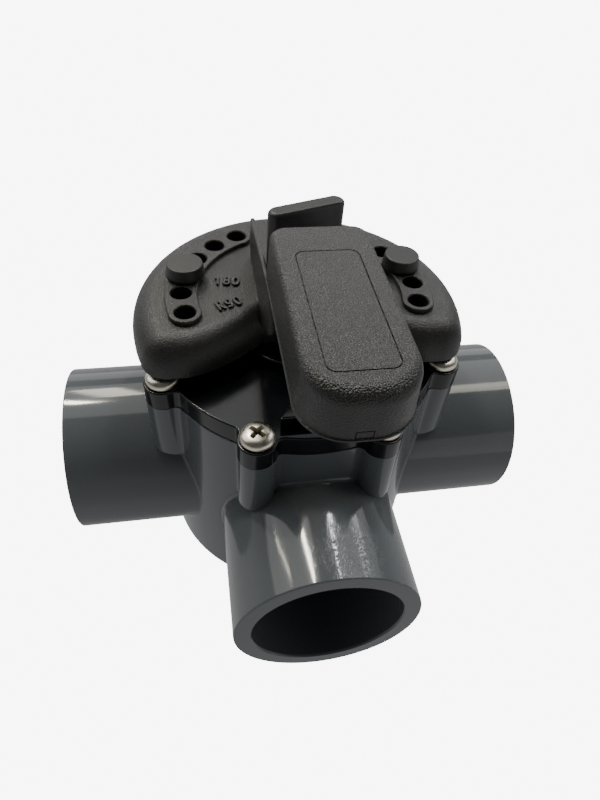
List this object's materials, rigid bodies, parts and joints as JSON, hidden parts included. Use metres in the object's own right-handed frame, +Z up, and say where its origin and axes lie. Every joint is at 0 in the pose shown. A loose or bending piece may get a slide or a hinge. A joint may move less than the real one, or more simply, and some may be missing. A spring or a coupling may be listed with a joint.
{
  "type": "three way valve",
  "caption": "Plastic three way diverter valve: a round body with side ports and a front port, a screwed cover, and a lever handle on a turning diverter.",
  "frame": {"origin": "centre of the body's flat underside, on the stem axis", "axes": "+Z up the stem, -Y out of the single front port, +X out of the right-hand port"},
  "size_m": [0.164, 0.1365, 0.1387],
  "materials": {
    "grey_plastic": "glossy moulded slate grey",
    "black_plastic": "glossy moulded black",
    "grained_plastic": "satin charcoal with a fine leather-like grain",
    "satin_plastic": "smooth satin dark grey",
    "inner_plastic": "smooth moulded dark grey",
    "rubber": "smooth moulded seal",
    "steel": "bright stainless"
  },
  "bodies": {
    "valve_body": {"valve_body": "grey_plastic", "cover": "black_plastic", "cover_o_ring": "rubber", "cover_screw_1": "steel", "cover_screw_2": "steel", "cover_screw_3": "steel", "cover_screw_4": "steel", "cover_screw_5": "steel", "cover_screw_6": "steel", "cover_screw_7": "steel", "cover_screw_8": "steel"},
    "diverter": {"diverter_rotor": "inner_plastic", "diverter_seal": "rubber", "stem_o_ring_lower": "rubber", "stem_o_ring_upper": "rubber", "handle": "grained_plastic"},
    "stop_pin_left": {"stop_pin_left": "satin_plastic"},
    "stop_pin_right": {"stop_pin_right": "satin_plastic"},
    "knob_washer": {"knob_washer": "steel"},
    "locking_knob": {"locking_knob": "satin_plastic", "knob_stud": "steel"}
  },
  "joints": [
    {"name": "handle_turn", "type": "hinge", "parent": "valve_body", "child": "diverter", "pos_m": [0, 0, 0.0888], "axis": [0, 0, 1], "range_deg": [-90, 90]},
    {"name": "left_pin_pull", "type": "slide", "parent": "diverter", "child": "stop_pin_left", "axis": [0, 0, 1], "range_m": [0, 0.02]},
    {"name": "right_pin_pull", "type": "slide", "parent": "diverter", "child": "stop_pin_right", "axis": [0, 0, 1], "range_m": [0, 0.02]},
    {"name": "knob_lift", "type": "slide", "parent": "diverter", "child": "knob_washer", "axis": [0, 0, 1], "range_m": [0, 0.003]},
    {"name": "knob_turn", "type": "hinge", "parent": "knob_washer", "child": "locking_knob", "pos_m": [0, 0, 0.11], "axis": [0, 0, 1], "range_deg": [0, 720]}
  ],
  "couplings": [
    {"joint": "knob_lift", "follows": "knob_turn", "m_per_rad": 0.000202}
  ]
}
